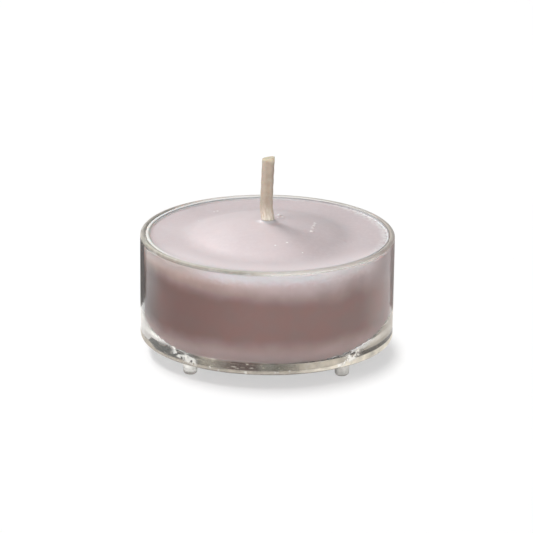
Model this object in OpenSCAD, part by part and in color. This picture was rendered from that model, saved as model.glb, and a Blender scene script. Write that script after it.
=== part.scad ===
// Tea light candle in a clear moulded cup.
// The origin is the centre of the circle that the feet stand on, and +Z is up.

/* [Cup] */
// Outside diameter of the cup at its rim
cup_d = 38; // [36:0.5:60]
// Height from the surface that the cup stands on to the top of the rim
cup_h = 18.4; // [16:0.1:30]
// Thickness of the side wall
wall_t = 0.8; // [0.5:0.05:1.2]
// Thickness of the base
base_t = 0.9; // [0.6:0.05:1.6]
// Mould draft: how much smaller the outside radius is at the base than at the rim
draft = 0.1; // [0.05:0.05:0.6]
// Height of the straight band below the rim, which a holder grips
band_h = 3; // [2:0.5:6]
// Outside radius of the corner between wall and base
corner_r = 0.7; // [0.3:0.1:1.5]
// Inside radius of the corner between wall and base
floor_r = 3.8; // [2:0.1:5]
// Diameter of the shallow recess where the plastic entered the mould
gate_d = 3; // [2:0.1:4]
// Depth of that recess
gate_depth = 0.25; // [0.1:0.05:0.4]
// Diameter of the stub left in the middle of the recess
gate_stub_d = 0.9; // [0.6:0.1:1.4]

/* [Feet] */
// How many feet stand under the base
foot_count = 4; // [3:1:8]
// Direction of the first foot, in degrees from the right-hand side
foot_turn = 45; // [0:5:90]
// Height of a foot, which is the air gap under the base
foot_h = 2.3; // [1.2:0.1:3.5]
// Diameter of a foot near its lower end
foot_d = 2.1; // [1.6:0.1:3]
// How much wider a foot is where it leaves the base
foot_taper = 0.2; // [0:0.05:0.4]
// Rounding of a foot's lower edge
foot_edge_r = 0.5; // [0.2:0.05:0.7]
// Fillet where a foot leaves the base
foot_root_r = 0.35; // [0.2:0.05:0.6]
// Distance from the edge of the base in to the middle of a foot
foot_inset = 3; // [2.8:0.1:5]

/* [Wax] */
// Radial gap that opened when the wax cooled and shrank
wax_gap = 0.2; // [0.1:0.05:0.4]
// How far the flat ring of the wax lies below the rim
wax_drop = 0.4; // [0.3:0.1:1.5]
// Height of the domed middle above the flat ring
dome_h = 2.2; // [1:0.1:3]
// Width of the flat ring between the wall and the dome
ring_w = 4.5; // [3:0.1:6]
// Radius of the hollow curve where the dome runs out into the ring
shoulder_r = 4.5; // [2:0.5:10]
// Thickness of the edge where wax clung to the wall
cling_t = 0.12; // [0.05:0.01:0.2]
// Height to which wax climbed the wick
collar_h = 0.45; // [0.2:0.05:0.8]

/* [Wick] */
// Width of the flat braided wick
wick_w = 1.9; // [1.4:0.1:2.6]
// Thickness of the wick
wick_t = 1.3; // [0.8:0.1:1.4]
// Length that stands clear of the wax
wick_free = 10.1; // [6:0.1:16]
// Sideways lean of the free end
wick_lean = 0.35; // [0:0.05:1]
// How much lower the cut end is on its left-hand edge
wick_slant = 0.35; // [0:0.05:0.6]
// Length of one crossing of the braid
braid_pitch = 1.6; // [1:0.1:2.4]
// Depth of the grooves between the strands
braid_depth = 0.06; // [0.02:0.01:0.15]

/* [Wick tab] */
// Diameter of the metal plate that holds the wick down
tab_d = 12.5; // [8:0.5:20]
// Thickness of the sheet metal
tab_t = 0.25; // [0.2:0.05:0.4]
// Height of the neck that is crimped on the wick
neck_h = 3; // [2:0.1:5]
// Fillet between plate and neck
neck_root_r = 0.5; // [0.3:0.1:0.8]
// Clearance between the wick, the metal, the wax around them and the floor of the cup
seat_gap = 0.04; // [0.02:0.01:0.08]

/* [Hidden] */
$fn = 96;

// Overlap of outlines that are drawn apart and join
lap = 0.04;

// Cup
rim_r = cup_d / 2;
base_r = rim_r - draft;
lip_r = wall_t / 2;
lip_z = cup_h - lip_r;
band_z = cup_h - band_h;
floor_z = foot_h + base_t;

// Feet
foot_r = foot_d / 2;
foot_top_r = foot_r + foot_taper / 2;
foot_ring_r = base_r - foot_inset;

// Wax: the cooled puck was drawn towards the right-hand side of the cup
wax_shift = 0.75 * wax_gap;
wax_r = rim_r - wall_t - wax_gap;
ring_z = cup_h - wax_drop;
edge_z = cup_h - wall_t / 8;
cling_r = edge_z - ring_z;
dome_z = ring_z + dome_h;
dome_r = wax_r - ring_w;

// The cap of the dome is an arc tangent to the shoulder's arc, which is tangent to the ring
blend_span = (dome_r * dome_r + dome_h * dome_h) / (2 * dome_h);
cap_r = blend_span - shoulder_r;
cap_edge_r = dome_r * cap_r / blend_span;
cap_edge_z = dome_z - cap_r + cap_r * (blend_span - dome_h) / blend_span;

// Wick: rings of points, a few to each crossing of the braid
seat_z = floor_z + seat_gap;
wick_top = dome_z + wick_free;
wick_len = wick_top - seat_z;
rings_per_pitch = 6;
wick_rings = ceil(wick_len / braid_pitch * rings_per_pitch);
wick_sides = 20;
wick_squareness = 2.5;
wick_bend = 1.3;
cut_zone = 1;

// A round-cornered tub outline, from the axis out to its wall, with a straight band at the top
module tub_outline(low_r, high_r, low_z, high_z, corner) {
    polygon([
        [0, low_z],
        [low_r - corner, low_z],
        [low_r, low_z + corner],
        [high_r, band_z],
        [high_r, high_z],
        [0, high_z]
    ]);
    translate([low_r - corner, low_z + corner]) circle(corner);
}

// The concave fillet in the angle between a floor and a wall, with its corner at the origin.
// It reaches a little way into both, so that they join.
module fillet_outline(r) {
    difference() {
        translate([-lap, -lap]) square(r + lap);
        translate([r, r]) circle(r);
    }
}

// A flat bar's section with round edges
module bar_section(w, t) {
    square([w - t, t], center = true);
    for (side = [-1, 1])
        translate([side * (w - t) / 2, 0]) circle(d = t);
}

module foot() {
    rotate_extrude() {
        polygon([
            [0, 0],
            [foot_r - foot_edge_r, 0],
            [foot_r, foot_edge_r],
            [foot_top_r, foot_h],
            [foot_top_r, foot_h + base_t / 2],
            [0, foot_h + base_t / 2]
        ]);
        translate([foot_r - foot_edge_r, foot_edge_r]) circle(foot_edge_r);
        translate([foot_top_r, foot_h]) mirror([0, 1]) fillet_outline(foot_root_r);
    }
}

// Clear injection-moulded cup: drafted wall, full round lip, large inside radius and small feet
module cup() {
    color([0.84, 0.86, 0.84, 0.4]) {
        difference() {
            rotate_extrude() {
                difference() {
                    tub_outline(base_r, rim_r, foot_h, lip_z, corner_r);
                    tub_outline(base_r - wall_t, rim_r - wall_t, floor_z, cup_h, floor_r);
                }
                translate([rim_r - lip_r, lip_z]) circle(lip_r);
            }
            translate([0, 0, foot_h - gate_depth]) cylinder(h = 2 * gate_depth, d = gate_d);
        }
        translate([0, 0, foot_h + gate_depth / 4])
            cylinder(h = gate_depth, d = gate_stub_d);
        for (i = [0 : foot_count - 1])
            rotate(foot_turn + i * 360 / foot_count)
                translate([foot_ring_r, 0, 0]) foot();
    }
}

// Half outline of the poured wax: puck, flat ring, dome and the thin edge left on the wall
module wax_outline() {
    tub_outline(wax_r - draft, wax_r, floor_z, ring_z, floor_r);
    intersection() {
        translate([0, dome_z - cap_r]) circle(cap_r);
        translate([0, floor_z]) square([cap_edge_r, dome_z]);
    }
    difference() {
        translate([cap_edge_r - lap, ring_z - lap])
            square([dome_r - cap_edge_r + lap, cap_edge_z - ring_z + lap]);
        translate([dome_r, ring_z + shoulder_r]) circle(shoulder_r);
    }
    translate([wax_r - cling_t, ring_z]) mirror([1, 0]) fillet_outline(cling_r);
    translate([wax_r - cling_t, band_z]) square([cling_t, edge_z - band_z]);
}

// What the wax was poured around, grown by a clearance
module wick_seat(gap) {
    translate([0, 0, seat_z - gap])
        linear_extrude(wick_len) bar_section(wick_w + 2 * gap, wick_t + 2 * gap);
}

module tab_solid(gap) {
    neck_r = wick_w / 2 + seat_gap + tab_t + gap;
    translate([0, 0, seat_z - gap]) {
        cylinder(h = tab_t + 2 * gap, d = tab_d + 2 * gap);
        cylinder(h = tab_t + neck_root_r + 2 * gap, r1 = neck_r + neck_root_r, r2 = wick_t / 2);
        linear_extrude(tab_t + neck_h + 2 * gap)
            bar_section(
                wick_w + 2 * (seat_gap + tab_t + gap),
                wick_t + 2 * (seat_gap + tab_t + gap)
            );
    }
}

module wax() {
    color([0.80, 0.71, 0.73]) difference() {
        union() {
            translate([wax_shift, 0, 0]) rotate_extrude() wax_outline();
            translate([0, 0, dome_z - collar_h])
                cylinder(h = 2 * collar_h, r1 = wick_w / 2 + 2 * collar_h, r2 = wick_w / 2 + cling_t);
        }
        tab_solid(seat_gap);
        wick_seat(seat_gap);
    }
}

// Sustainer: a tinned disc with a neck squeezed on the wick
module wick_tab() {
    color([0.70, 0.70, 0.68]) difference() {
        tab_solid(0);
        wick_seat(seat_gap);
    }
}

function signed_power(v, p) = sign(v) * pow(abs(v), p);
// Centre line of the wick: upright in the wax, then a slow bend to its lean
function wick_x(z) = z < dome_z ? 0 : wick_lean * pow((z - dome_z) / wick_free, wick_bend);
// Strands cross in chevrons, so the groove's phase runs up the middle and down the edges
function braid(x, z) = 0.5 - 0.5 * cos(360 * (z / braid_pitch + abs(x) / wick_w));
function wick_point(a, z) =
    let (
        ux = signed_power(cos(a), 2 / wick_squareness),
        uy = signed_power(sin(a), 2 / wick_squareness),
        x = wick_w / 2 * ux,
        y = wick_t / 2 * uy,
        k = 1 - braid_depth / (wick_t / 2) * braid(x, z),
        cut = max(0, 1 - (wick_top - z) / cut_zone)
    )
    [wick_x(z) + k * x, k * y, z - cut * wick_slant * (0.5 - x / wick_w)];

// Braided cotton, soaked in wax, with a slanting cut end
module wick() {
    points = [
        for (i = [0 : wick_rings])
            for (k = [0 : wick_sides - 1])
                wick_point(360 * k / wick_sides, seat_z + wick_len * i / wick_rings)
    ];
    sides = [
        for (i = [0 : wick_rings - 1])
            for (k = [0 : wick_sides - 1])
                let (
                    a = i * wick_sides + k,
                    b = i * wick_sides + (k + 1) % wick_sides
                )
                each [[a, a + wick_sides, b + wick_sides], [a, b + wick_sides, b]]
    ];
    bottom = [for (k = [0 : wick_sides - 1]) k];
    top = [for (k = [wick_sides - 1 : -1 : 0]) wick_rings * wick_sides + k];
    color([0.86, 0.81, 0.74]) polyhedron(points, concat(sides, [bottom, top]));
}

cup();
wax();
wick();
wick_tab();
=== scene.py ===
import math

import bpy
import numpy as np
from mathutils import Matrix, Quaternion, Vector, noise


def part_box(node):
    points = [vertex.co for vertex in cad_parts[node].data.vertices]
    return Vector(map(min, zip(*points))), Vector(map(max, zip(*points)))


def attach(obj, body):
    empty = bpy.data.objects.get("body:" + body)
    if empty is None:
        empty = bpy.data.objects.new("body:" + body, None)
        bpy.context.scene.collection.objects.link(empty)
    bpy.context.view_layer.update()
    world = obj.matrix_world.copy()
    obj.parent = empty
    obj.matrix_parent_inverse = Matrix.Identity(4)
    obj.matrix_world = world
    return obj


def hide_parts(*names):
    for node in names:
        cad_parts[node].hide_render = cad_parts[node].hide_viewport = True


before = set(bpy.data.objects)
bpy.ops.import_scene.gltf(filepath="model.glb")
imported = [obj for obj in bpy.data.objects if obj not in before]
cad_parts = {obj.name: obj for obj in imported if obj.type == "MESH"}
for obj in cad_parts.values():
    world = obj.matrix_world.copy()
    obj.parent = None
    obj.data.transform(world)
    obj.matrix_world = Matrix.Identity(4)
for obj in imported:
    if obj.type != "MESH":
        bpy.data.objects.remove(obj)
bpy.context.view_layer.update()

scene = bpy.context.scene
scene.view_settings.view_transform = "Standard"

# Camera
# A long lens a little above the rim, at the photograph's height and distance, with its slight roll.
# Sizes in this script are in millimetres, and MM turns them into metres.
MM = 0.001
camera_aim = Vector((-0.11, 0, 13.08)) * MM
camera_pivot = Vector((0, 0, 9)) * MM
camera_distance = 900 * MM
camera_elevation = math.radians(18.6)
camera_roll = math.radians(0.63)
backwards = Vector((0, -math.cos(camera_elevation), math.sin(camera_elevation)))
camera_data = bpy.data.cameras.new("camera")
camera_data.sensor_width = 36
camera_data.lens = 406
camera_data.clip_start = 50 * MM
camera_data.clip_end = 20000 * MM
camera = bpy.data.objects.new("camera", camera_data)
scene.collection.objects.link(camera)
scene.camera = camera
camera.location = camera_pivot + camera_distance * backwards
camera.rotation_mode = "QUATERNION"
gaze = (camera_aim - camera.location).to_track_quat("-Z", "Y")
camera.rotation_quaternion = gaze @ Quaternion((0, 0, 1), camera_roll)


# Cup
# One injection moulding in clear polycarbonate, with a round lip and four small feet. It is the CAD
# node itself, polished, with the mould's faint ripple and smears of wax. Its lip, the corner of its
# floor, its base edge and its feet carry a matt haze in painted tones: painted light and painted
# shade for the bands that the clear plastic bends there, and painted glints.
class Socket:
    """One output in a shader graph. It takes part in Python expressions, which add their nodes."""

    def __init__(self, graph, output):
        self.graph = graph
        self.output = output

    def other(self, name):
        """Another output of the same node."""
        return Socket(self.graph, self.output.node.outputs[name])

    def math(self, operation, *values):
        return self.graph.node("ShaderNodeMath", {"operation": operation}, self, *values)

    def __add__(self, value):
        return self.math("ADD", value)

    def __sub__(self, value):
        return self.math("SUBTRACT", value)

    def __rsub__(self, value):
        return self.graph.node("ShaderNodeMath", {"operation": "SUBTRACT"}, value, self)

    def __mul__(self, value):
        return self.math("MULTIPLY", value)

    def __abs__(self):
        return self.math("ABSOLUTE")

    __radd__ = __add__
    __rmul__ = __mul__

    def larger(self, value):
        """The larger of this and another value."""
        return self.math("MAXIMUM", value)

    def rise(self, start, full):
        """Rises smoothly from 0 at start to 1 at full. It falls where start is the larger."""
        settings = {"interpolation_type": "SMOOTHSTEP"}
        return self.graph.node("ShaderNodeMapRange", settings, self, start, full, 0.0, 1.0)


class Graph:
    """The nodes of one material or of the world."""

    def __init__(self, owner):
        owner.use_nodes = True
        self.owner = owner
        self.tree = owner.node_tree

    def feed(self, target, value):
        """Links or sets one input of a node."""
        if isinstance(value, Socket):
            self.tree.links.new(value.output, target)
        elif isinstance(value, tuple) and target.type == "RGBA":
            target.default_value = (*value, 1)
        else:
            target.default_value = value

    def node(self, kind, settings, *values, output=0, **named):
        """Adds a node with its settings first, then what its sockets are fed."""
        made = self.tree.nodes.new(kind)
        for key, value in settings.items():
            setattr(made, key, value)
        for key, value in [*enumerate(values), *named.items()]:
            self.feed(made.inputs[key], value)
        return Socket(self, made.outputs[output])

    def mix(self, share, first, second):
        """Goes from the first colour to the second as share goes from 0 to 1."""
        made = self.node("ShaderNodeMix", {"data_type": "RGBA"}, share, output=2)
        for key, value in ((6, first), (7, second)):
            self.feed(made.output.node.inputs[key], value)
        return made

    def blend(self, along, colour, *steps):
        """Colours that take over from each other along a value. Each step says where it starts,
        where it is full, and its colour."""
        for start, full, following in steps:
            colour = self.mix(along.rise(start, full), colour, following)
        return colour

    def multiply(self, first, second):
        """Multiplies two colours or vectors, part by part."""
        return self.node("ShaderNodeVectorMath", {"operation": "MULTIPLY"}, first, second)

    def place(self):
        """The point on the surface, in millimetres in the part's frame."""
        point = self.node("ShaderNodeTexCoord", {}, output="Object")
        return self.node("ShaderNodeVectorMath", {"operation": "SCALE"}, point, Scale=1 / MM)

    def axes(self, point):
        """The x, y and z of a point."""
        x = self.node("ShaderNodeSeparateXYZ", {}, point)
        return x, x.other("Y"), x.other("Z")

    def noise(self, point, scale, detail=2.0, roughness=0.5):
        """Soft noise between 0 and 1, with about as many waves in a millimetre as scale says."""
        named = {"Scale": scale, "Detail": detail, "Roughness": roughness}
        return self.node("ShaderNodeTexNoise", {}, point, **named)

    def finish(self, bump_height=None, bump_depth=0.0, **values):
        """Feeds the Principled shader. Underscores stand for the spaces in a socket's name."""
        shader = self.tree.nodes["Principled BSDF"]
        for key, value in values.items():
            self.feed(shader.inputs[key.replace("_", " ")], value)
        if bump_height is not None:
            named = {"Height": bump_height, "Distance": bump_depth * MM}
            self.feed(shader.inputs["Normal"], self.node("ShaderNodeBump", {}, **named))
        return self.owner

    def surface(self, shader):
        """Makes a shader the whole surface."""
        self.feed(self.tree.nodes["Material Output"].inputs["Surface"], shader)

    def over(self, share, shader):
        """Lets another shader take a share of the surface."""
        lit = Socket(self, self.tree.nodes["Principled BSDF"].outputs[0])
        self.surface(self.node("ShaderNodeMixShader", {}, share, lit, shader))


cup_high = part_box("cup")[1] / MM
foot_h = 2.3

# Its places: left and right, in from the outside, down from the lip and up from the feet
clear = Graph(bpy.data.materials.new("clear_polycarbonate"))
point = clear.place()
x, y, z = clear.axes(point)
aside = abs(x)
on_right = x.rise(-1.0, 1.0)
depth = cup_high.x - (x * x + y * y).math("SQRT")
under_lip = cup_high.z - z
over_feet = z - foot_h

# Its finish: rippled all over, speckled on the wall's edges and low down, rubbed matt on the lip
ripple = clear.noise(point, 0.35)
speckle = clear.noise(point, 1.6, 4, 0.7)
wall_edge = depth.rise(0.45, 0.2) * aside.rise(17.3, 18.3) * z.rise(6.0, 9.0)
on_feet = over_feet.rise(-0.05, -0.3)
speckled = wall_edge * 0.6 + over_feet.rise(1.9, 1.1) * 1.4 + on_feet * 3
smear = clear.noise(point, 1.1, 4, 0.65).rise(0.56, 0.78)
rubbed = under_lip.rise(1.0, 0.3)
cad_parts["cup"].material_slots[0].material = clear.finish(
    bump_height=ripple + speckle * speckled,
    bump_depth=0.03,
    Base_Color=clear.blend(z, (0.97, 0.966, 0.965), (15.0, 12.5, (0.97, 0.966, 0.935))),
    Transmission_Weight=1.0,
    IOR=1.585,
    Roughness=smear * 0.04 + rubbed * 0.28 + 0.008,
)

# Haze of the lip in painted tones: cream as painted light, with painted dark lines at the front left,
# and nearly none under it at the back
front_left = x.rise(1.5, -4.0) * y.rise(-1.0, -7.0)
behind = y.rise(0.0, 6.0)
painted_lip_haze = under_lip.rise(0.7, 0.3) * (front_left * 0.3 + 0.4)
painted_lip_haze = painted_lip_haze * (1 - behind * under_lip.rise(0.1, 0.25) * 0.85)
painted_dark_lines = clear.blend(under_lip, (0.26, 0.24, 0.20), (0.25, 0.06, (0.52, 0.50, 0.43)))
painted_lip_tone = clear.mix(front_left, (0.80, 0.75, 0.66), painted_dark_lines)

# Painted light in the floor's corner, left and right, as a pale haze from where the wax touches the
# cup down to a line
corner_x = 12.0
edge_x = 17.1
corner_out = (aside - corner_x).larger(0.0)
corner_top = corner_out * corner_out * (0.082 - on_right * 0.007) + on_right * 0.6 + 4.0
edge_drop = (aside - edge_x).larger(0.0) * (1 - on_right) * 1.6
corner_foot = 4.45 - edge_drop - on_right * 0.3
painted_corner_haze = (corner_top - z).rise(-0.3, 0.9) * (z - corner_foot).rise(-0.1, 0.15)
painted_corner_haze = painted_corner_haze * aside.rise(corner_x, corner_x + 3.5) * (on_right * 0.04 + 0.36)
painted_corner_haze = painted_corner_haze * (clear.noise(point, 0.3) * 0.8 + 0.6)
painted_corner_light = clear.mix(on_right, (0.94, 0.90, 0.85), (0.86, 0.765, 0.64))

# Painted shade and painted light in the band below the corner: a haze dark and light by turns from
# left to right, with level streaks
band_foot = x.rise(9.0, 13.0) * 0.42 + x.rise(-16.2, -17.6) * 0.6 + 3.15
painted_band_haze = (corner_foot - z).rise(-0.1, 0.1) * (z - band_foot).rise(-0.15, 0.05)
painted_band_haze = painted_band_haze * depth.rise(1.1, 0.5) * 0.45
painted_band_tone = clear.blend(
    x,
    (0.13, 0.13, 0.12),
    (-11.0, -9.0, (0.42, 0.38, 0.31)),
    (-8.2, -4.6, (0.12, 0.075, 0.06)),
    (-2.2, 0.0, (0.18, 0.165, 0.125)),
    (1.5, 8.0, (0.92, 0.82, 0.67)),
    (12.0, 14.5, (0.16, 0.14, 0.11)),
)
level_streaks = clear.noise(clear.multiply(point, (1, 1, 4)), 0.9, 3, 0.6)
painted_band_tone = clear.blend(level_streaks, painted_band_tone, (0.56, 0.70, (0.72, 0.67, 0.58)))

# Painted light on the base edge and the feet: a haze fawn at the left, cream at the right, painted
# white on the feet
painted_edge_haze = (z - band_foot).rise(0.1, -0.15) * over_feet.rise(0.12, 0.3) * depth.rise(1.3, 0.7)
painted_edge_haze = painted_edge_haze * (x.rise(4.0, 9.0) * 0.15 + 0.55)
painted_edge_light = clear.blend(x, (0.48, 0.43, 0.36), (3.0, 9.0, (1.0, 0.92, 0.78)))
painted_foot_light = on_feet * (z.rise(0.6, 1.6) * 0.35 + on_right * 0.25 + 0.2)

# Painted glints: broken light over each foot, in a line that climbs outwards, and specks along the
# base
glow_x = 12.1
glow_z = 3.676
glow_slope = 0.28
glow_line = (aside - glow_x) * glow_slope + glow_z
painted_foot_glint = abs(z - glow_line).rise(0.85, 0.4) * abs(aside - glow_x).rise(2.2, 1.4)
painted_foot_glint = painted_foot_glint * depth.rise(2.0, 1.0) * clear.noise(point, 0.9, 3, 0.7).rise(0.42, 0.54)
painted_specks = clear.noise(point, 0.8, 3, 0.7).rise(0.625, 0.685) * over_feet.rise(1.8, 1.4) * 0.6
painted_glint = painted_specks.larger(painted_foot_glint * (on_right * 0.2 + 0.72))

# The haze is a share of dull plastic in the clear plastic, in the painted light and painted shade of
# its place
painted_haze = painted_lip_haze.larger(painted_band_haze).larger(painted_edge_haze).larger(painted_foot_light)
painted_haze = painted_haze * (clear.noise(point, 0.6, 3) * 1.4 + 0.3)
painted_tone = clear.mix((z - corner_foot).rise(-0.1, 0.1), painted_band_tone, painted_corner_light)
painted_tone = clear.mix(z.rise(12.0, 14.0), painted_tone, painted_lip_tone)
painted_tone = clear.mix((z - band_foot).rise(0.05, -0.1), painted_tone, painted_edge_light)
# Painted white highlight on the feet and on the glints
painted_tone = clear.mix(over_feet.rise(0.1, -0.1).larger(painted_glint), painted_tone, (1.0, 0.98, 0.93))
painted_haze_shader = clear.node("ShaderNodeBsdfDiffuse", {}, painted_tone)
clear.over(painted_haze.larger(painted_corner_haze).larger(painted_glint), painted_haze_shader)

# Wax
# Paraffin, poured hot round the wick in one casting. It shrank from the wall as it set, left a thin
# edge clinging there, stayed domed in the middle and climbed the wick a little.
wax_low, wax_high = (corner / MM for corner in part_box("wax"))
wax_x = (wax_low.x + wax_high.x) / 2
wax_r = (wax_high.x - wax_low.x) / 2
wax_floor = wax_low.z
collar_h = 0.45
dome_z = wax_high.z - collar_h
dome_h = 2.2
ring_z = dome_z - dome_h
ring_w = 4.5
dome_r = wax_r - ring_w
shoulder_r = 8.0
cling_t = 0.12
cling_h = 0.3
wall_face = wax_r - cling_t

# The cap of the dome is an arc tangent to the shoulder's arc, which is tangent to the ring
blend_span = (dome_r**2 + dome_h**2) / (2 * dome_h)
cap_r = blend_span - shoulder_r
cap_edge_r = dome_r * cap_r / blend_span

# The inside of the cup: a straight band at the top, a slight draft below it, and a round corner
cavity_r = 18.2
cavity_draft = 0.1
cavity_corner = 3.8
band_z = 15.4
corner_z = wax_floor + cavity_corner

# What the wax was poured round: a flat wick, and the plate and neck of its tab
seat_gap = 0.04
wick_w = 1.9
wick_t = 1.3
plate_r = 6.25
plate_t = 0.25
neck_h = 3.0
neck_wall = 0.29
neck_root_r = 0.5

wax_sides = 384
turn = np.linspace(0, 2 * np.pi, wax_sides, endpoint=False)


def bar_radius(half_w, half_t):
    """Distance from the middle to the outline of a flat bar with round edges, in each direction."""
    c, s = np.abs(np.cos(turn)), np.abs(np.sin(turn))
    half_flat = half_w - half_t
    on_flat = half_t / np.maximum(s, 1e-9)
    on_edge = half_flat * c + np.sqrt(np.maximum(half_t**2 - (half_flat * s) ** 2, 0))
    return np.where(half_t * c <= half_flat * s, on_flat, on_edge)


def dome(r):
    """Height of the top at a distance from the axis: a cap, a hollow shoulder and a flat ring."""
    cap = dome_z - cap_r + np.sqrt(np.maximum(cap_r**2 - r**2, 0))
    hollow = np.sqrt(np.maximum(shoulder_r**2 - (dome_r - r) ** 2, 0))
    shoulder = ring_z + shoulder_r - hollow
    return np.where(r < cap_edge_r, cap, np.where(r < dome_r, shoulder, ring_z))


def ripples(places, size):
    """Waves between -1 and 1, about as long as size, which are the same in each run."""
    return np.array([noise.noise(Vector(place) / size) for place in places])


def ring_of(radius, centre_x, level):
    """A level ring of points. Its radius is one number, or one for each direction."""
    height = np.broadcast_to(level, turn.shape)
    return np.stack([centre_x + radius * np.cos(turn), radius * np.sin(turn), height], 1)


def wall_radius(level):
    """Inside radius of the cup's wall, which narrows below its upper band."""
    return cavity_r - cavity_draft * np.clip((band_z - level) / (band_z - corner_z), 0, 1)


# Where the wax has left the cup, by height and by degrees from the front, with the left as minus
wetting = 0.02
shrink_gap = 0.12
loose_rim_z = 16.5
loose_rim_rise = 1.3
loose_left = (-135, -76)
loose_back = 128
loose_floor_z = 3.6
loose_corner_z = 3.5
loose_corner_rise = 4.1


def is_loose(points):
    """Where the wax no longer wets the cup: below the rim, at the left edge, in patches at the
    back and low down, and in the floor's corner, where the line rises to both sides."""
    height = points[:, 2]
    facing = np.degrees(np.arctan2(points[:, 0], -points[:, 1]))
    from_front = np.abs(facing)
    uneven = 1.3 * ripples(points, 2.6) + 0.5 * ripples(points, 0.9)
    rim_share = np.clip((np.abs(facing - 5) - 22) / 40, 0, 1)
    at_rim = height > loose_rim_z + loose_rim_rise * rim_share + 0.35 * uneven
    at_left = (facing > loose_left[0]) & (facing < loose_left[1] + 0.6 * uneven)
    at_back = (from_front > loose_back) & (ripples(points, 7.0) > -0.05)
    low_down = (height < loose_floor_z) & (ripples(points, 2.2) > 0.22)
    steepness = np.where(facing < 0, 2.0, 1.35)
    corner_share = np.clip((from_front - 25) / 60, 0, 1.2) ** steepness
    corner_line = loose_corner_z + loose_corner_rise * corner_share + 0.1 * uneven
    in_corner = (height < corner_line) & (height > wax_floor + 0.3)
    return at_rim | at_left | at_back | low_down | in_corner


def wall_ring(radius, level, away_r, away_z):
    """A ring against the cup's inside, moved away from it, or a hair into it where the wax wets it.
    The clinging edge at the top has left it least."""
    points = ring_of(radius, 0, level)
    gap = np.where(is_loose(points), shrink_gap, -wetting)
    if level > ring_z - 0.1:
        gap = np.minimum(gap, cling_t / 3)
    points[:, 0] += away_r * gap * np.cos(turn)
    points[:, 1] += away_r * gap * np.sin(turn)
    points[:, 2] += away_z * gap
    return points


# Rings of points: first over the top, which is still flat, from the wick's outline out to the wall
seat_outline = bar_radius(wick_w / 2 + seat_gap, wick_t / 2 + seat_gap)
seat_mean_r = 1.0
fine_r = 3
rounding_r = 4.0
near_wick = np.arange(0, fine_r, 0.08)
to_wall = np.arange(fine_r, wall_face - 1.3, 0.15)
rings = []
for out in np.concatenate([near_wick, to_wall]):
    wick_share = max(0, 1 - out / rounding_r)
    radius = out + wick_share * seat_outline + (1 - wick_share) * seat_mean_r
    rings.append(ring_of(radius, (1 - wick_share) * wax_x, ring_z))
for radius in np.linspace(out + seat_mean_r, wall_face, 12)[1:]:
    rings.append(ring_of(radius, wax_x, ring_z))
top_rings = len(rings)

# Then up the clinging edge, down the wall, round the corner and in under the bottom
for share in (0.3, 0.6, 0.9):
    rings.append(ring_of(wall_face, wax_x, ring_z + cling_h * share))
rings.append(ring_of(wax_r - cling_t / 2, wax_x, ring_z + cling_h))
for level in np.arange(ring_z + cling_h * 0.9, corner_z, -0.2):
    rings.append(wall_ring(wall_radius(level), level, -1, 0))
floor_r = wall_radius(corner_z) - cavity_corner
for fall in np.radians(np.arange(0, 91, 5)):
    away_r, away_z = -math.cos(fall), math.sin(fall)
    radius, level = floor_r - cavity_corner * away_r, corner_z - cavity_corner * away_z
    rings.append(wall_ring(radius, level, away_r, away_z))
for radius in np.arange(floor_r - 0.5, 9.0, -0.5):
    rings.append(wall_ring(radius, wax_floor, 0, 1))

# Last, round the tab's plate and neck and up the wick
neck_outline = bar_radius(wick_w / 2 + seat_gap + neck_wall, wick_t / 2 + seat_gap + neck_wall)
plate_top = wax_floor + plate_t + 2 * seat_gap
neck_top = plate_top + neck_h
for radius, level in (
    (plate_r + seat_gap, wax_floor),
    (plate_r + seat_gap, plate_top),
    (neck_outline + neck_root_r, plate_top),
    (neck_outline, plate_top + neck_root_r),
    (neck_outline, neck_top),
    (seat_outline, neck_top),
    (seat_outline, (neck_top + dome_z) / 2),
):
    rings.append(ring_of(radius, 0, level))
wax_points = np.concatenate(rings)

# The top rises as a dome, creeps up the wall and the wick, and waves a little between them
top = wax_points[: top_rings * wax_sides]
from_axis = np.hypot(top[:, 0] - wax_x, top[:, 1])
from_wick = np.hypot(top[:, 0], top[:, 1]) - np.tile(seat_outline, top_rings)
top[:, 2] = dome(from_axis)
creep = np.clip(from_axis - (wall_face - cling_h), 0, cling_h)
top[:, 2] += cling_h - np.sqrt(cling_h**2 - creep**2)
calm = np.clip(from_wick / 0.5, 0, 1) * np.clip((wall_face - from_axis) / 0.4, 0, 1)
top[:, 2] += calm * (0.05 * ripples(top, 6.0) + 0.014 * ripples(top, 1.7))
collar = np.exp(-np.maximum(from_wick, 0) / 0.3)
top[:, 2] += collar_h * collar * (0.8 + 0.2 * ripples(top, 0.7))

# Marks on the top: crumbs and pits, by x, y, size and height, then a fine streak and frost
crumbs = (
    (1.75, 3.1, 0.36, 0.34),
    (2.2, 2.2, 0.26, 0.2),
    (1.5, 1.7, 0.2, 0.12),
    (6.6, -2.55, 0.22, 0.1),
    (2.9, -7.4, 0.2, 0.05),
    (1.15, -8.4, 0.16, 0.04),
    (5.2, -9.6, 0.14, 0.04),
    (-7.6, 11.5, 0.2, 0.06),
    (-8.1, 11.1, 0.16, 0.05),
    (-10.4, 6.2, 0.13, 0.04),
)
pits = ((8.9, 15.0, 0.36, -0.1), (11.8, -3.05, 0.25, -0.1), (-1.8, -12.9, 0.18, -0.05))
streak_x = 6.84
streak_slope = 0.123
streak_ends = (-2.6, 2.4)
streak_w = 0.22
streak_h = 0.035
streak_fade = 0.6
streak = [
    (streak_x + streak_slope * along, along, streak_w, streak_h)
    for along in np.linspace(*streak_ends, 12)
]
for spot_x, spot_y, size, height in (*crumbs, *pits, *streak):
    away = np.hypot(top[:, 0] - spot_x, top[:, 1] - spot_y)
    top[:, 2] += height * np.exp(-((away / size) ** 2))
frost_in = 16.4
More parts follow.
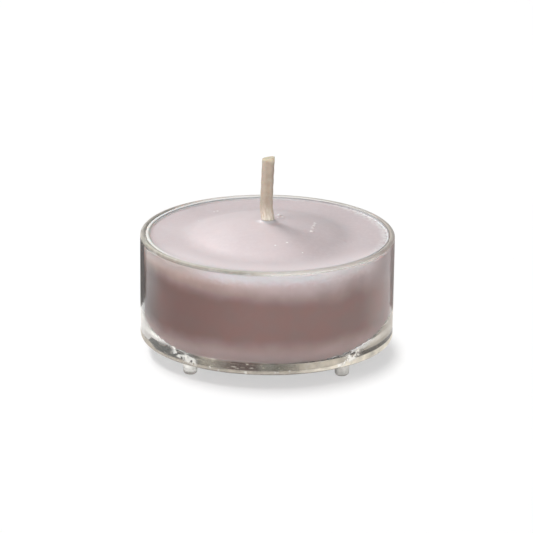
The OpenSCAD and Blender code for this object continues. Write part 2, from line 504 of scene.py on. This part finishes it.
on_frost = np.clip(top[:, 0] / wax_r - 0.55, 0, 1) * np.clip((from_axis - frost_in) / 0.8, 0, 1)
top[:, 2] += on_frost * calm * (0.12 * np.abs(ripples(top, 0.45)) + 0.05)


def sweep(name, points, sides, closed):
    """A mesh from rings of points. A closed one joins its last ring to its first."""
    rows = len(points) // sides
    row = np.arange(rows if closed else rows - 1)[:, None] * sides
    column = np.arange(sides)[None, :]
    following = (row + sides) % (rows * sides)
    beside = (column + 1) % sides
    quads = np.stack([row + column, following + column, following + beside, row + beside], 2)
    mesh = bpy.data.meshes.new(name)
    mesh.from_pydata((points * MM).tolist(), [], quads.reshape(-1, 4).tolist())
    mesh.shade_smooth()
    piece = bpy.data.objects.new(name, mesh)
    scene.collection.objects.link(piece)
    return piece


wax = sweep("poured_wax", wax_points, wax_sides, closed=True)
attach(wax, "root")
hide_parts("wax")

mauve = Graph(bpy.data.materials.new("mauve_wax"))
point = mauve.place()
x, y, z = mauve.axes(point)
from_axis = ((x - wax_x) * (x - wax_x) + y * y).math("SQRT")
cloud = mauve.noise(point, 0.22, 3, 0.55)
fleck = mauve.noise(point, 1.6, 4, 0.6)

# Its side through the cup: plum, darker than the top partly as wetted wax and partly as painted
# shade, with painted shade darkest at the left edge, painted light rosy at the right, and a faint
# blush
painted_dark_edge = mauve.blend(z, (0.23, 0.165, 0.155), (13, 9, (0.135, 0.078, 0.068)))
plum_and_painted_shade = mauve.blend(
    x,
    (0.238, 0.097, 0.081),
    (-15, 0, (0.36, 0.20, 0.183)),
    (2, 13, (0.42, 0.25, 0.228)),
)
# Painted shade: the dark strip at the left edge
painted_left_shade = x.rise(-14.6, -17.2) * y.rise(1.5, -3.0)
plum_and_painted_shade = mauve.mix(painted_left_shade, plum_and_painted_shade, painted_dark_edge)
plum_and_painted_shade = mauve.blend(x, plum_and_painted_shade, (13.2, 16.8, (0.57, 0.40, 0.38)))
blush = mauve.noise(point, 0.4, 4, 0.6)
blush = mauve.blend(blush, (0.96, 1.015, 1.02), (0.35, 0.65, (1.045, 0.97, 0.96)))
plum_and_painted_shade = mauve.multiply(plum_and_painted_shade, blush)

# The side fades to pale mauve at the rim and near the floor, as painted light with wavy borders, and
# ends in painted shade, brown, at the bottom
wavy_z = z + (cloud - 0.5) * 2.2
painted_pale_light = mauve.blend(x, (0.88, 0.69, 0.62), (-14, 4, (0.87, 0.76, 0.755)))
painted_low_light = mauve.blend(x, (0.64, 0.49, 0.485), (2, 13, (0.79, 0.605, 0.595)))
# Painted light in the band under the rim
painted_rim_light = mauve.blend(
    x,
    (0.76, 0.65, 0.62),
    (-13, -5, (0.98, 0.92, 0.98)),
    (7, 14, (1.0, 0.90, 0.90)),
)
rim_border = wavy_z + x * 0.06 - x.rise(10, 13) * 0.8
side_tone = mauve.blend(rim_border, plum_and_painted_shade, (12.6, 17.2, painted_pale_light))
side_tone = mauve.blend(wavy_z, side_tone, (8.0, 4.6, painted_low_light))
# Painted shade at the bottom
side_tone = mauve.blend(z, side_tone, (3.9, 3.5, (0.30, 0.22, 0.19)))
side_tone = mauve.blend(z + (fleck - 0.5) * 1.2, side_tone, (15.6, 17.2, painted_rim_light))
# Painted light on the right edge
painted_right_light = x.rise(14.4, 17.4) * z.rise(12.2, 14.8)
side_tone = mauve.mix(painted_right_light, side_tone, (0.55, 0.405, 0.395))

# Its top: clouded mauve, with painted shade on the far side, painted light at the front and on the
# edge, frosted at the right
skin = mauve.blend(cloud, (0.66, 0.572, 0.583), (0.3, 0.7, (0.695, 0.607, 0.617)))
painted_far_shade = x.rise(1, 8).larger(y.rise(3, 12))
skin = mauve.mix(painted_far_shade * 0.8, skin, (0.618, 0.532, 0.542))
painted_front_light = from_axis.rise(12.5, 17.0) * y.rise(-4, -11)
skin = mauve.mix(painted_front_light, skin, (0.80, 0.715, 0.725))
frost = from_axis.rise(16.3, 17.6) * x.rise(9.0, 15.0) * fleck.rise(0.35, 0.62)
skin = mauve.mix(frost, skin, (0.80, 0.78, 0.77))
skin = mauve.mix(fleck.rise(0.4, 0.7) * 0.3, skin, (0.74, 0.66, 0.665))
from_wall = wax_r - from_axis
edge = from_wall.rise(0.4, 0.2)
# Painted highlights on the edge at the left and at the back
skin = mauve.mix(edge * x.rise(-14, -16.5), skin, (0.84, 0.79, 0.73))
painted_back_edge_light = from_wall.rise(0.4, 0.15) * y.rise(2.0, 8.0) * x.rise(9.0, -1.0)
skin = mauve.mix(painted_back_edge_light, skin, (0.98, 0.94, 0.93))

# Painted highlights on the streak and the crumbs
painted_highlight = abs(x - y * streak_slope - streak_x).rise(0.3, 0.1) * fleck.rise(0.42, 0.6)
for end, fade in zip(streak_ends, (-streak_fade, streak_fade)):
    painted_highlight = painted_highlight * y.rise(end + fade, end)
for crumb_x, crumb_y, size, _ in crumbs:
    away = (x - crumb_x) * (x - crumb_x) + (y - crumb_y) * (y - crumb_y)
    painted_highlight = painted_highlight.larger(away.rise(size**2 * 1.4, size**2 * 0.2))
skin = mauve.mix(painted_highlight * 0.85, skin, (0.93, 0.90, 0.89))

on_side = edge * z.rise(ring_z + 0.05, ring_z - 0.25)
on_side = on_side.larger(z.rise(ring_z - 0.4, ring_z - 0.9))
wax_material = mauve.finish(
    bump_height=fleck,
    bump_depth=0.02,
    Base_Color=mauve.mix(on_side, skin, side_tone),
    Roughness=fleck * 0.15 + 0.36,
    Subsurface_Weight=0.6,
    Subsurface_Scale=1.0 * MM,
    Subsurface_Radius=(1.7, 1.2, 1.1),
    IOR=1.44,
)
wax.data.materials.append(wax_material)

# Wick
# Flat braided cotton, soaked in wax so that it stands, and cut off with a slanting end. It sways and
# leans a little. The braid shows faintly, and least near the wax, which has soaked and swollen it.
wick_low, wick_high = (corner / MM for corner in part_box("wick"))
wick_free = wick_high.z - dome_z
wick_lean = 0.30
wick_sway = 0.28
sway_share = 0.25
wick_slant = 0.35
cut_zone = 1.0
braid_pitch = 1.6
braid_depth = 0.025
braid_full = 3
soaked_bulge = 0.06
soaked_h = 1.5
wick_squareness = 2.5
wick_sides = 72
wick_turn = np.linspace(0, 2 * np.pi, wick_sides, endpoint=False)
across = np.sign(np.cos(wick_turn)) * np.abs(np.cos(wick_turn)) ** (2 / wick_squareness)
through = np.sign(np.sin(wick_turn)) * np.abs(np.sin(wick_turn)) ** (2 / wick_squareness)


def wick_ring(level, shrink=1.0, crown=0.0):
    """A ring of the wick. At the end, shrink and crown round off the cut."""
    chevron = 0.5 - 0.5 * np.cos(2 * np.pi * (level / braid_pitch + np.abs(across) / 2))
    groove = braid_depth * np.clip((level - dome_z) / braid_full, 0.3, 1)
    keep = shrink * (1 - groove / (wick_t / 2) * chevron)
    if level > dome_z:
        keep *= 1 + soaked_bulge * math.exp(-(((level - dome_z) / soaked_h - 1) ** 2))
    px = wick_w / 2 * across * keep
    cut = max(0, 1 - (wick_high.z - level) / cut_zone)
    pz = level - crown - cut * wick_slant * (0.5 - px / wick_w)
    free = max(0, level - dome_z) / wick_free
    sway = min(1, free / sway_share)
    px += wick_lean * free**1.3 - wick_sway * sway * sway * (3 - 2 * sway)
    return np.stack([px, wick_t / 2 * through * keep, pz], 1)


wick_rings = [wick_ring(level) for level in np.arange(wick_low.z, dome_z - 0.5, 0.5)]
wick_rings += [wick_ring(level) for level in np.linspace(dome_z - 0.5, wick_high.z - 0.05, 150)]
wick_rings += [wick_ring(wick_high.z, shrink, 0.03) for shrink in (0.94, 0.8, 0.55, 0.3, 0.08)]
wick = sweep("braided_wick", np.concatenate(wick_rings), wick_sides, closed=False)
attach(wick, "root")
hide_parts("wick")

# Brown thread, with painted light on its left edge and low on its right, and paler where wax has
# soaked it and at the cut
cotton = Graph(bpy.data.materials.new("waxed_cotton"))
point = cotton.place()
x, y, z = cotton.axes(point)
mottle = cotton.noise(point, 1.4, 3)
fibre = cotton.noise(cotton.multiply(point, (1, 1, 0.2)), 5.0, 3)
thread = cotton.blend(mottle, (0.35, 0.28, 0.222), (0.35, 0.65, (0.40, 0.325, 0.257)))
# Painted light on the left edge and low on the right
thread = cotton.mix(x.rise(-0.2, -0.7) * 0.25, thread, (0.55, 0.48, 0.40))
thread = cotton.mix(x.rise(0.0, 0.6) * z.rise(28.0, 24.0) * 0.6, thread, (0.50, 0.425, 0.35))
wet_thread = cotton.blend(fibre, (0.54, 0.465, 0.37), (0.4, 0.6, (0.70, 0.65, 0.57)))
thread = cotton.blend(z + mottle * 2, thread, (24.5, 21.8, wet_thread))
thread = cotton.mix((z + x * 0.2).rise(29.4, 30.0) * 0.7, thread, (0.66, 0.58, 0.42))
wick.data.materials.append(
    cotton.finish(
        bump_height=fibre,
        bump_depth=0.02,
        Base_Color=thread,
        Roughness=mottle * 0.2 + 0.4,
        Subsurface_Weight=0.3,
        Subsurface_Scale=0.4 * MM,
    )
)

# Wick tab
# A disc of tinned steel with a neck squeezed on the wick. It is the CAD node itself, and only its
# underside shows, through the cup's base.
tin = Graph(bpy.data.materials.new("tinned_steel"))
rolled = tin.noise(tin.place(), 1.5, 4)
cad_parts["wick_tab"].material_slots[0].material = tin.finish(
    bump_height=rolled,
    bump_depth=0.01,
    Base_Color=tin.mix(rolled, (0.62, 0.61, 0.58), (0.74, 0.73, 0.70)),
    Metallic=1.0,
    Roughness=rolled * 0.2 + 0.25,
)

# Floor
# A white paper sheet that keeps the candle's shadow. The eye sees part of its light as its own,
# straight or through the cup, but it lights the candle no more than a matt white sheet would.
floor_half = 3000
floor_corners = [(x * floor_half, y * floor_half) for x, y in ((-1, -1), (1, -1), (1, 1), (-1, 1))]
mirror_share = 0.4
paper_glow = 0.56


def seen_by_eye(graph):
    """1 where the eye looks, straight or by mirror or glass, and 0 for light on its way elsewhere."""
    ray = graph.node("ShaderNodeLightPath", {}, output="Is Camera Ray")
    clear_view = ray.larger(ray.other("Is Glossy Ray") * mirror_share)
    clear_view = clear_view.larger(ray.other("Is Transmission Ray"))
    return clear_view * ray.other("Diffuse Depth").rise(1.0, 0.0)


def sheet(name, corners, level, material):
    """A flat level sheet between its corners."""
    mesh = bpy.data.meshes.new(name)
    mesh.from_pydata([(x * MM, y * MM, level * MM) for x, y in corners], [], [range(len(corners))])
    mesh.materials.append(material)
    piece = bpy.data.objects.new(name, mesh)
    scene.collection.objects.link(piece)
    return piece


paper = Graph(bpy.data.materials.new("white_paper"))
paper.finish(Base_Color=(0.9, 0.9, 0.9), Roughness=0.9)
paper.over(seen_by_eye(paper) * paper_glow, paper.node("ShaderNodeEmission", {}))
floor = sheet("floor", floor_corners, 0, paper.owner)

# Cards
# Two grey cards on the floor behind the candle, which widen away from it. They lie where the edges
# of the cup's wall look, as the darker room did, and only glass and mirrors show them.
card_in = 15
card_out = 18.5
card_near = 17
card_far = 120
card_z = 0.5
for name, side, shade, spread in (("left_card", -1, 0.17, 43), ("right_card", 1, 0.34, 33)):
    widening = math.tan(math.radians(spread))
    grey = Graph(bpy.data.materials.new(name))
    grey.surface(grey.node("ShaderNodeEmission", {}, (shade, shade * 0.94, shade * 0.92)))
    card_corners = [
        (side * card_in, card_near),
        (side * (card_out + card_near * widening), card_near),
        (side * (card_out + card_far * widening), card_far),
        (side * card_in, card_far),
    ]
    card = sheet(name, card_corners, card_z, grey.owner)
    card.visible_camera = False
    card.visible_diffuse = False
    card.visible_shadow = False

# World and lamps
# Soft light from the left, low in front and high behind, as the shades on the dome show. Those lamps
# leave the floor alone, and a lamp of its own gives it the photograph's soft shadow.
sky_light = 0.25
sky = Graph(bpy.data.worlds.new("sky"))
scene.world = sky.owner
background = sky.tree.nodes["Background"]
sky.feed(background.inputs["Color"], (1, 1, 1))
sky.feed(background.inputs["Strength"], seen_by_eye(sky) * (1 - sky_light) + sky_light)
lamp_aim = Vector((0, 0, 12)) * MM


def softbox(name, azimuth, elevation, size, power, distance=700):
    """A round lamp turned to the candle. Azimuth 0 is the camera's side, and 90 is the right."""
    a, e = math.radians(azimuth), math.radians(elevation)
    way = Vector((math.sin(a) * math.cos(e), -math.cos(a) * math.cos(e), math.sin(e)))
    data = bpy.data.lights.new(name, "AREA")
    data.shape = "DISK"
    data.size = size * MM
    data.energy = power
    lamp = bpy.data.objects.new(name, data)
    scene.collection.objects.link(lamp)
    lamp.location = lamp_aim + distance * MM * way
    lamp.rotation_mode = "QUATERNION"
    lamp.rotation_quaternion = (-way).to_track_quat("-Z", "Y")
    return lamp


def linked(name, piece, state):
    """A list for light linking, which includes or excludes one piece."""
    pieces = bpy.data.collections.new(name)
    pieces.objects.link(piece)
    pieces.collection_objects[0].light_linking.link_state = state
    return pieces


for lamp in (
    softbox("key_light", azimuth=225, elevation=45, size=350, power=3.35),
    softbox("low_light", azimuth=315, elevation=20, size=350, power=3.25),
    softbox("front_light", azimuth=30, elevation=6, size=350, power=1.95),
):
    lamp.light_linking.receiver_collection = linked(lamp.name + "_receivers", floor, "EXCLUDE")

# The floor's lamp is a long oval that faces straight down, and its light passes through the cup
floor_light = softbox("floor_light", azimuth=232, elevation=84.3, size=170, power=13.5, distance=1200)
floor_light.data.shape = "ELLIPSE"
floor_light.data.size_y = 500 * MM
floor_light.rotation_quaternion = (1, 0, 0, 0)
floor_light.light_linking.receiver_collection = linked("floor_light_receivers", floor, "INCLUDE")
see_through = linked("see_through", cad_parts["cup"], "EXCLUDE")
floor_light.light_linking.blocker_collection = see_through
